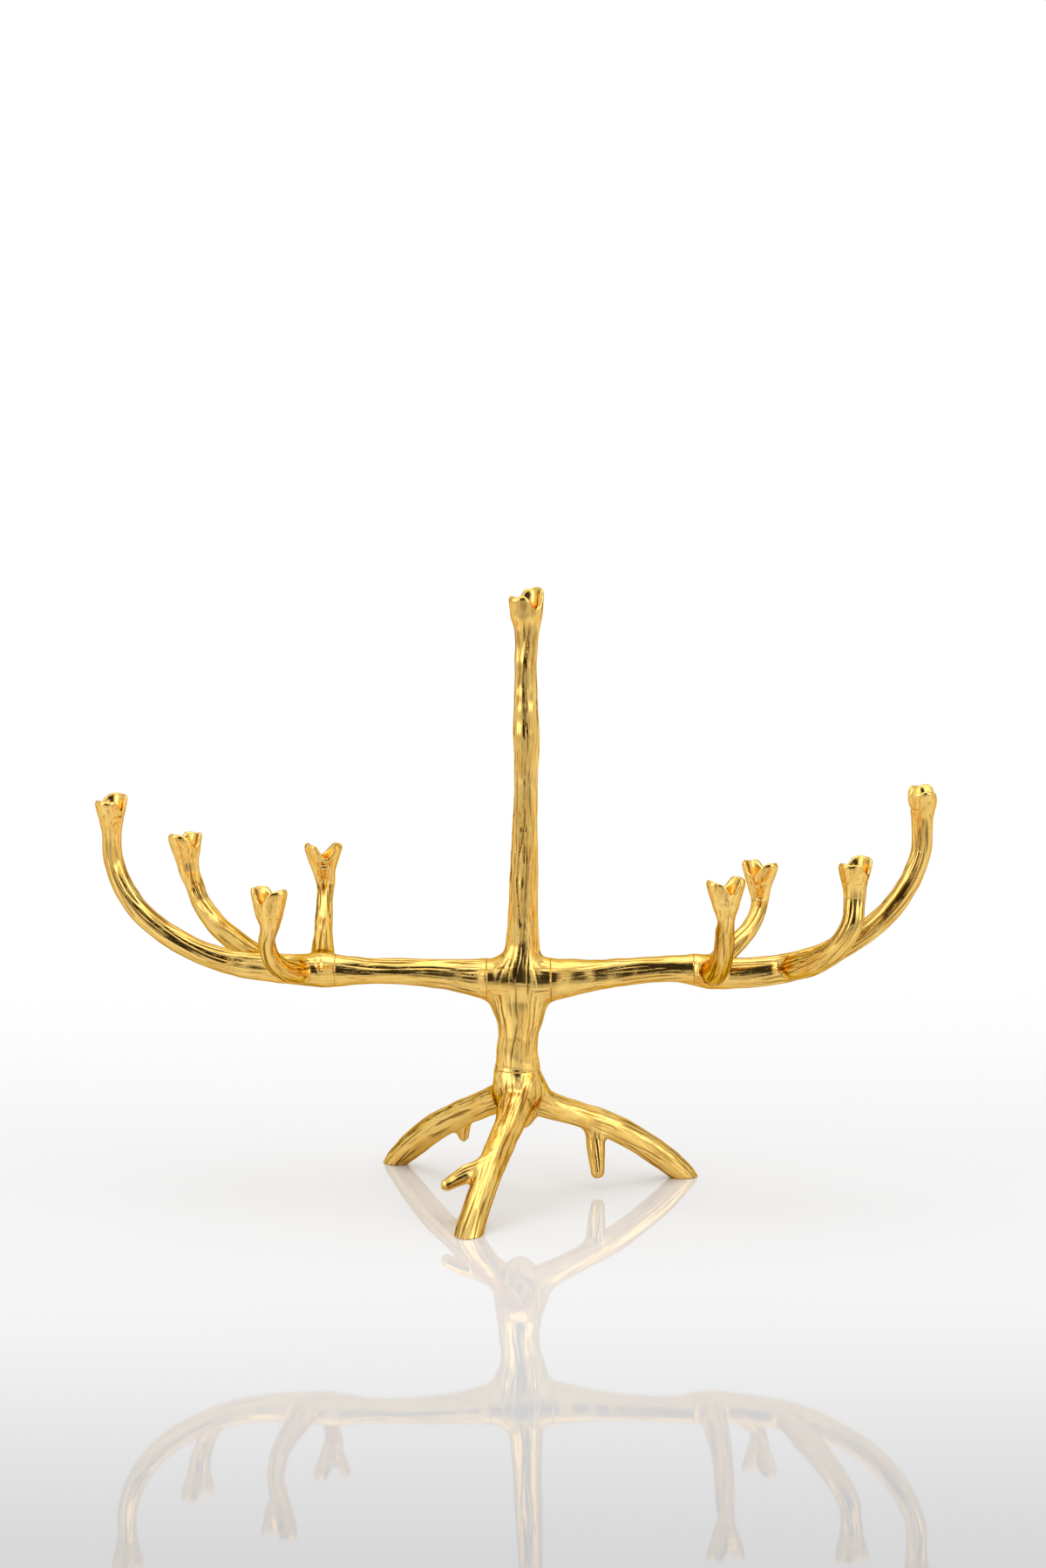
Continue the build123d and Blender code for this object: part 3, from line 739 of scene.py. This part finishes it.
# ---- meshing ----------------------------------------------------------------------------------------
class Casting:
    """One casting: blocks of voxels round it, its field there, and its mesh."""

    def __init__(self, name, cut):
        self.cut = cut
        low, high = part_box(name)
        self.origin = np.array(low) / MM - BOX_MARGIN
        size = np.array(high) / MM + BOX_MARGIN - self.origin
        self.blocks = np.ceil(size / (VOXEL * BLOCK)).astype(int)
        cells = np.indices(self.blocks).reshape(3, -1).T
        centres = (self.origin + (cells + 0.5) * VOXEL * BLOCK).astype(np.float32)
        reach = VOXEL * BLOCK * HALF_DIAGONAL
        self.guesses, self.near = {}, {}
        closest = np.full(len(cells), FAR, np.float32)
        for limb in LIMBS.values():
            along, off = limb.first_guess(centres)
            near = off < reach + BLEND + LIMB_SLACK
            if near.any():
                self.guesses[limb.name] = along
                self.near[limb.name] = near
                closest = np.minimum(closest, off)
        self.live = np.flatnonzero(closest < reach + SURFACE_SLACK)

    def field_at(self, points, block_of):
        """At points, each with the number of its block: the casting's field, its bark marks, and
        whether the surface near there belongs to a joint or a pin hole."""
        skins = {name: np.full(len(points), FAR, np.float32) for name in LIMBS}
        whole = np.full(len(points), FAR, np.float32)
        marks = np.zeros((len(points), 4), np.float32)
        for name, near in self.near.items():
            chosen = near[block_of]
            if not chosen.any():
                continue
            skin, found = LIMBS[name].skin(points[chosen], self.guesses[name][block_of[chosen]])
            skins[name][chosen] = skin
            marks[chosen] = np.where((skin < whole[chosen])[:, None], found, marks[chosen])
            whole[chosen] = smooth_min(whole[chosen], skin, BLEND)
        cut = np.maximum(self.cut(points, skins), drill(points, whole))
        return smooth_max(whole, cut, EDGE_ROUND), marks, cut > whole + JOINT_EDGE

    def fill(self):
        """The field at every voxel, worked out in batches of blocks on several threads."""
        side = self.blocks * BLOCK
        nx, ny, nz = self.blocks
        values = np.full((nx, BLOCK, ny, BLOCK, nz, BLOCK), FAR, np.float32)
        inner = np.indices((BLOCK, BLOCK, BLOCK)).reshape(3, -1).T * VOXEL
        batches = np.array_split(self.live, max(1, len(self.live) // BLOCKS_PER_BATCH))

        def work(batch):
            at = np.array(np.unravel_index(batch, self.blocks)).T
            corner = self.origin + at * VOXEL * BLOCK
            points = (corner[:, None] + inner[None]).reshape(-1, 3).astype(np.float32)
            found, _, _ = self.field_at(points, np.repeat(batch, len(inner)))
            return at, found.reshape(-1, BLOCK, BLOCK, BLOCK)

        with ThreadPoolExecutor(THREADS) as pool:
            for at, found in pool.map(work, batches):
                values[at[:, 0], :, at[:, 1], :, at[:, 2], :] = found
        return values.reshape(side)

    def settle(self, vertices):
        """Moves rough vertices onto the field's zero surface. Returns them, their bark marks, and
        which of them are on a joint face or in a pin hole."""

        def work(part):
            for _ in range(2):
                value, _, _ = self.field_at(part, self.block_of(part))
                slope = np.empty_like(part)
                for axis in range(3):
                    moved = part.copy()
                    moved[:, axis] += SETTLE_NUDGE
                    beside, _, _ = self.field_at(moved, self.block_of(part))
                    slope[:, axis] = (beside - value) / SETTLE_NUDGE
                steep = np.maximum(dot(slope, slope), SETTLE_STEEPNESS)
                step = (value / steep)[:, None] * slope
                part = part - np.clip(step, -SETTLE_LIMIT, SETTLE_LIMIT)
            part = part.astype(np.float32)
            _, marks, joint = self.field_at(part, self.block_of(part))
            return part, marks, joint

        batches = max(1, len(vertices) // VERTICES_PER_BATCH)
        parts = np.array_split(vertices.astype(np.float32), batches)
        with ThreadPoolExecutor(THREADS) as pool:
            done = list(pool.map(work, parts))
        return tuple(np.concatenate(found) for found in zip(*done))

    def block_of(self, points):
        """The number of the block that each point is in, or the nearest one."""
        at = np.floor((points - self.origin) / (VOXEL * BLOCK)).astype(int)
        at = np.clip(at, 0, self.blocks - 1)
        return np.ravel_multi_index(at.T, self.blocks)


def surface_net(values):
    """Vertices, in voxels, and quads of the surface where the field crosses zero."""
    inside = values < 0.0
    cells = tuple(side - 1 for side in values.shape)
    corners = [(i, j, k) for i in (0, 1) for j in (0, 1) for k in (0, 1)]

    def shifted(array, corner):
        i, j, k = corner
        return array[i:i + cells[0], j:j + cells[1], k:k + cells[2]]

    count = np.zeros(cells, np.uint8)
    for corner in corners:
        count += shifted(inside, corner)
    mixed = (count > 0) & (count < len(corners))
    where = np.argwhere(mixed)
    number = np.full(cells, -1, np.int32)
    number[mixed] = np.arange(len(where))

    total = np.zeros((len(where), 3))
    crossings = np.zeros(len(where))
    for axis in range(3):
        for corner in corners:
            if corner[axis]:
                continue
            other = list(corner)
            other[axis] = 1
            a = values[tuple((where + corner).T)]
            b = values[tuple((where + other).T)]
            crossed = (a < 0.0) != (b < 0.0)
            share = np.where(crossed, a / np.where(crossed, a - b, 1.0), 0.0)
            spot = np.tile(np.array(corner, float), (len(where), 1))
            spot[:, axis] = share
            total += spot * crossed[:, None]
            crossings += crossed
    vertices = where + total / crossings[:, None]

    quads = []
    for axis in range(3):
        u, v = (axis + 1) % 3, (axis + 2) % 3
        low = [slice(None)] * 3
        high = [slice(None)] * 3
        low[axis], high[axis] = slice(0, -1), slice(1, None)
        for direction in (u, v):
            low[direction] = high[direction] = slice(1, -1)
        first, second = inside[tuple(low)], inside[tuple(high)]
        spots = np.argwhere(first != second)
        leaving = first[tuple(spots.T)]
        spots[:, u] += 1
        spots[:, v] += 1
        ring = []
        for du, dv in ((-1, -1), (0, -1), (0, 0), (-1, 0)):
            cell = spots.copy()
            cell[:, u] += du
            cell[:, v] += dv
            ring.append(number[tuple(cell.T)])
        ring = np.column_stack(ring)
        quads.append(np.where(leaving[:, None], ring, ring[:, ::-1]))
    return vertices, np.vstack(quads)


def largest_island(vertices, quads):
    """Drops crumbs: keeps the vertices and quads of the biggest connected shell."""
    label = np.arange(len(vertices))
    edges = np.vstack([quads[:, [0, 1]], quads[:, [1, 2]], quads[:, [2, 3]], quads[:, [3, 0]]])
    while True:
        lowest = np.minimum(label[edges[:, 0]], label[edges[:, 1]])
        renewed = label.copy()
        np.minimum.at(renewed, edges[:, 0], lowest)
        np.minimum.at(renewed, edges[:, 1], lowest)
        renewed = renewed[renewed]
        if (renewed == label).all():
            break
        label = renewed
    names, sizes = np.unique(label, return_counts=True)
    kept = label == names[sizes.argmax()]
    number = np.cumsum(kept) - 1
    return vertices[kept], number[quads[kept[quads].all(axis=1)]]


def build_casting(name, cut, material):
    """Meshes one casting and puts it in place of its CAD node."""
    casting = Casting(name, cut)
    vertices, quads = surface_net(casting.fill())
    vertices, quads = largest_island(vertices, quads)
    vertices, marks, joint = casting.settle(casting.origin + vertices * VOXEL)
    mesh = bpy.data.meshes.new(name + "_casting")
    mesh.from_pydata((vertices * MM).tolist(), [], quads.tolist())
    groove = mesh.attributes.new("groove", "FLOAT", "POINT")
    groove.data.foreach_set("value", marks[:, 0].copy())
    bark = mesh.attributes.new("bark", "FLOAT_VECTOR", "POINT")
    bark.data.foreach_set("vector", marks[:, 1:].ravel())
    mesh.shade_smooth()
    sharp = mesh.attributes.new("sharp_face", "BOOLEAN", "FACE")
    sharp.data.foreach_set("value", joint[quads].any(axis=1))
    mesh.materials.append(material)
    piece = bpy.data.objects.new(name + "_casting", mesh)
    bpy.context.scene.collection.objects.link(piece)
    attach(piece, "root")
    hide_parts(name)
    print(name, len(vertices), "vertices")


# ---- materials --------------------------------------------------------------------------------------
DEEP_GOLD = (0.96, 0.6, 0.155, 1.0)
LIGHT_GOLD = (1.0, 0.68, 0.205, 1.0)
LINE_BROWN = (0.4, 0.2, 0.035, 1.0)
GROOVE_BROWN = (0.25, 0.11, 0.015, 1.0)
EDGE_TINT = (0.62, 0.4, 0.14, 1.0)      # of the reflections at grazing angles
LINE_STRETCH = 0.045                    # scale of the fine lines' noise along the limb
DULL_BRASS = (0.66, 0.45, 0.16, 1.0)
BRIGHT_BRASS = (0.8, 0.58, 0.24, 1.0)
# painted shade: the floor's grey is darker at the front, where less light falls, than at the back
FRONT_SHADE_GREY = (0.5, 0.5, 0.51, 1.0)
BACK_GREY = (0.765, 0.765, 0.77, 1.0)
FLOOR_SHADE_Y = (-0.54, -0.12)           # the floor's painted shade runs from the darker front grey to the back one here
FLOOR_FADE_Y = (0.0, 0.55)              # and the floor turns into the lit backdrop here


def new_material(name):
    """A material, with its nodes, its links and its main shader."""
    material = bpy.data.materials.new(name)
    material.use_nodes = True
    nodes = material.node_tree.nodes
    return material, nodes, material.node_tree.links, nodes["Principled BSDF"]


def noise(nodes, links, coordinates, scale, detail=4.0, roughness=0.55):
    """Cloudy noise at these coordinates, from 0 to 1."""
    texture = nodes.new("ShaderNodeTexNoise")
    texture.inputs["Scale"].default_value = scale
    texture.inputs["Detail"].default_value = detail
    texture.inputs["Roughness"].default_value = roughness
    links.new(coordinates, texture.inputs["Vector"])
    return texture.outputs["Fac"]


def ramp(nodes, links, factor, low, high, low_value, high_value):
    """A smooth remap of a factor onto another range."""
    remap = nodes.new("ShaderNodeMapRange")
    remap.interpolation_type = "SMOOTHSTEP"
    links.new(factor, remap.inputs["Value"])
    remap.inputs["From Min"].default_value = low
    remap.inputs["From Max"].default_value = high
    remap.inputs["To Min"].default_value = low_value
    remap.inputs["To Max"].default_value = high_value
    return remap.outputs["Result"]


def mix_colour(nodes, links, factor, low, high):
    """A blend of two colours, each a fixed one or a socket."""
    mixer = nodes.new("ShaderNodeMix")
    mixer.data_type = "RGBA"
    links.new(factor, mixer.inputs["Factor"])
    for socket, colour in ((mixer.inputs[6], low), (mixer.inputs[7], high)):
        if isinstance(colour, tuple):
            socket.default_value = colour
        else:
            links.new(colour, socket)
    return mixer.outputs[2]


def bump(nodes, links, height, strength, distance, normal=None):
    """Raises a height on top of a normal. Returns the new normal."""
    node = nodes.new("ShaderNodeBump")
    node.inputs["Strength"].default_value = strength
    node.inputs["Distance"].default_value = distance
    links.new(height, node.inputs["Height"])
    if normal:
        links.new(normal, node.inputs["Normal"])
    return node.outputs["Normal"]


def gold_material():
    """Polished yellow gold plate, finely lined along the bark and pebbled, brown in the grooves."""
    material, nodes, links, shader = new_material("gold_plate")
    place = nodes.new("ShaderNodeTexCoord").outputs["Object"]
    groove = nodes.new("ShaderNodeAttribute")
    groove.attribute_name = "groove"
    bark = nodes.new("ShaderNodeAttribute")
    bark.attribute_name = "bark"
    drawn_out = nodes.new("ShaderNodeMapping")
    drawn_out.inputs["Scale"].default_value = (1.0, 1.0, LINE_STRETCH)
    links.new(bark.outputs["Vector"], drawn_out.inputs["Vector"])
    cloud = noise(nodes, links, place, 90.0)
    lines = noise(nodes, links, drawn_out.outputs["Vector"], 1.3, detail=3.0, roughness=0.6)
    grain = noise(nodes, links, place, 1500.0, detail=3.0)
    clouded = ramp(nodes, links, cloud, 0.35, 0.65, 0.0, 1.0)
    ridge_gold = mix_colour(nodes, links, clouded, DEEP_GOLD, LIGHT_GOLD)
    lining = ramp(nodes, links, lines, 0.35, 0.47, 0.62, 0.0)
    lined = mix_colour(nodes, links, lining, ridge_gold, LINE_BROWN)
    sunk = ramp(nodes, links, groove.outputs["Fac"], 0.1, 0.7, 0.0, 0.88)
    colour = mix_colour(nodes, links, sunk, lined, GROOVE_BROWN)
    links.new(colour, shader.inputs["Base Color"])
    shader.inputs["Metallic"].default_value = 1.0
    shader.inputs["Specular Tint"].default_value = EDGE_TINT
    links.new(ramp(nodes, links, cloud, 0.3, 0.7, 0.09, 0.17), shader.inputs["Roughness"])
    lined_normal = bump(nodes, links, lines, 0.22, 0.0003)
    links.new(bump(nodes, links, grain, 0.1, 0.0002, lined_normal), shader.inputs["Normal"])
    return material


def pin_material():
    """Drawn brass rod, faintly clouded."""
    material, nodes, links, shader = new_material("pin_brass")
    place = nodes.new("ShaderNodeTexCoord").outputs["Object"]
    cloud = noise(nodes, links, place, 400.0)
    colour = mix_colour(nodes, links, cloud, DULL_BRASS, BRIGHT_BRASS)
    links.new(colour, shader.inputs["Base Color"])
    shader.inputs["Metallic"].default_value = 1.0
    links.new(ramp(nodes, links, cloud, 0.3, 0.7, 0.25, 0.4), shader.inputs["Roughness"])
    return material


def floor_material():
    """Glossy pale acrylic with painted shade, a little darker towards the front, that fades into the lit
    backdrop.
    """
    material, nodes, links, shader = new_material("pale_gloss_floor")
    place = nodes.new("ShaderNodeTexCoord").outputs["Object"]
    split = nodes.new("ShaderNodeSeparateXYZ")
    links.new(place, split.inputs["Vector"])
    # painted shade: the base colour darkens towards the front, standing in for the light falling off
    # there
    depth = ramp(nodes, links, split.outputs["Y"], *FLOOR_SHADE_Y, 0.0, 1.0)
    colour = mix_colour(nodes, links, depth, FRONT_SHADE_GREY, BACK_GREY)
    links.new(colour, shader.inputs["Base Color"])
    shader.inputs["Roughness"].default_value = 0.03
    shader.inputs["IOR"].default_value = 1.45
    glow = nodes.new("ShaderNodeEmission")
    fade = nodes.new("ShaderNodeMixShader")
    far = ramp(nodes, links, split.outputs["Y"], *FLOOR_FADE_Y, 0.0, 1.0)
    links.new(far, fade.inputs["Fac"])
    links.new(shader.outputs["BSDF"], fade.inputs[1])
    links.new(glow.outputs["Emission"], fade.inputs[2])
    links.new(fade.outputs["Shader"], nodes["Material Output"].inputs["Surface"])
    return material


# ---- studio, in metres and watts ----------------------------------------------------------------------
WORLD_STRENGTH = 0.8
SIDE_POWER = 5.6
TOP_POWER = 5.0
CAMERA_PLACE = (0.0031, -1.3583, 0.3422)
CAMERA_DIP = 6.42         # degrees below level
CAMERA_ROLL = -0.405      # degrees
FOCAL_LENGTH = 70.08      # millimetres, on a sensor this wide
SENSOR_WIDTH = 36.0


def flat_panel(name, width, height, location, rotation, material):
    """A rectangle, facing its own +Z."""
    half_w, half_h = width / 2.0, height / 2.0
    mesh = bpy.data.meshes.new(name)
    corners = [(-half_w, -half_h, 0), (half_w, -half_h, 0), (half_w, half_h, 0), (-half_w, half_h, 0)]
    mesh.from_pydata(corners, [], [(0, 1, 2, 3)])
    mesh.materials.append(material)
    panel = bpy.data.objects.new(name, mesh)
    panel.location = location
    panel.rotation_euler = rotation
    bpy.context.scene.collection.objects.link(panel)
    return panel


def white_material():
    """White that shines by itself, for the backdrop."""
    material, nodes, links, _ = new_material("lit_white")
    white = nodes.new("ShaderNodeEmission")
    links.new(white.outputs["Emission"], nodes["Material Output"].inputs["Surface"])
    return material


def dark_material():
    """Matt near-black, for the cards that the gold reflects."""
    material, _, _, shader = new_material("dark_room")
    shader.inputs["Base Color"].default_value = (0.02, 0.016, 0.012, 1.0)
    shader.inputs["Roughness"].default_value = 0.9
    return material


def area_light(name, location, target, width, height, power):
    """A rectangular light that points at its target and that the camera does not see."""
    data = bpy.data.lights.new(name, "AREA")
    data.shape = "RECTANGLE"
    data.size = width
    data.size_y = height
    data.energy = power
    light = bpy.data.objects.new(name, data)
    light.location = location
    aim = Vector(target) - Vector(location)
    light.rotation_euler = aim.to_track_quat("-Z", "Y").to_euler()
    light.visible_camera = False
    bpy.context.scene.collection.objects.link(light)


def make_studio():
    """White world, glossy floor, lit backdrop, dark cards for the gold to reflect, soft boxes."""
    world = bpy.data.worlds.new("white_studio")
    world.use_nodes = True
    background = world.node_tree.nodes["Background"]
    background.inputs["Color"].default_value = (1.0, 1.0, 1.0, 1.0)
    background.inputs["Strength"].default_value = WORLD_STRENGTH
    bpy.context.scene.world = world
    upright = radians(90.0)
    flat_panel("studio_floor", 12.0, 12.0, (0.0, 0.0, 0.0), (0.0, 0.0, 0.0), floor_material())
    flat_panel("white_backdrop", 12.0, 8.0, (0.0, 4.0, 3.9), (upright, 0.0, 0.0), white_material())
    dark = dark_material()
    for name, width, height, location, turn in (
        ("dark_room", 1.35, 2.1, (0.0, -1.7, 1.15), 0.0),
        ("left_flag", 0.4, 1.6, (-1.5, 1.3, 0.8), 45.0),
        ("right_flag", 0.4, 1.6, (1.5, 1.3, 0.8), -45.0),
    ):
        card = flat_panel(name, width, height, location, (upright, 0.0, radians(turn)), dark)
        card.visible_camera = False
        card.visible_diffuse = False
        card.visible_shadow = False
    for name, side in (("left_softbox", -1.0), ("right_softbox", 1.0)):
        area_light(name, (1.3 * side, -0.9, 0.9), (0.0, 0.0, 0.12), 0.95, 1.4, SIDE_POWER)
    area_light("top_softbox", (0.0, 0.1, 1.5), (0.0, 0.0, 0.1), 1.4, 1.0, TOP_POWER)


def make_camera():
    """The camera, in front of the tree and a little above its top, looking slightly down."""
    data = bpy.data.cameras.new("camera")
    data.lens = FOCAL_LENGTH
    data.sensor_width = SENSOR_WIDTH
    camera = bpy.data.objects.new("camera", data)
    bpy.context.scene.collection.objects.link(camera)
    tilt = Euler((radians(90.0 - CAMERA_DIP), 0.0, 0.0)).to_matrix().to_4x4()
    roll = Matrix.Rotation(radians(CAMERA_ROLL), 4, "Z")
    camera.matrix_world = Matrix.Translation(CAMERA_PLACE) @ tilt @ roll
    bpy.context.scene.camera = camera


# ---- the scene ----------------------------------------------------------------------------------------
gold = gold_material()
for casting_name, casting_cut in CASTINGS.items():
    build_casting(casting_name, casting_cut, gold)

brass = pin_material()
for node_name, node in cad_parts.items():
    if node_name not in CASTINGS:
        node.data.materials.clear()
        node.data.materials.append(brass)

make_studio()
make_camera()
bpy.context.scene.view_settings.view_transform = "Standard"
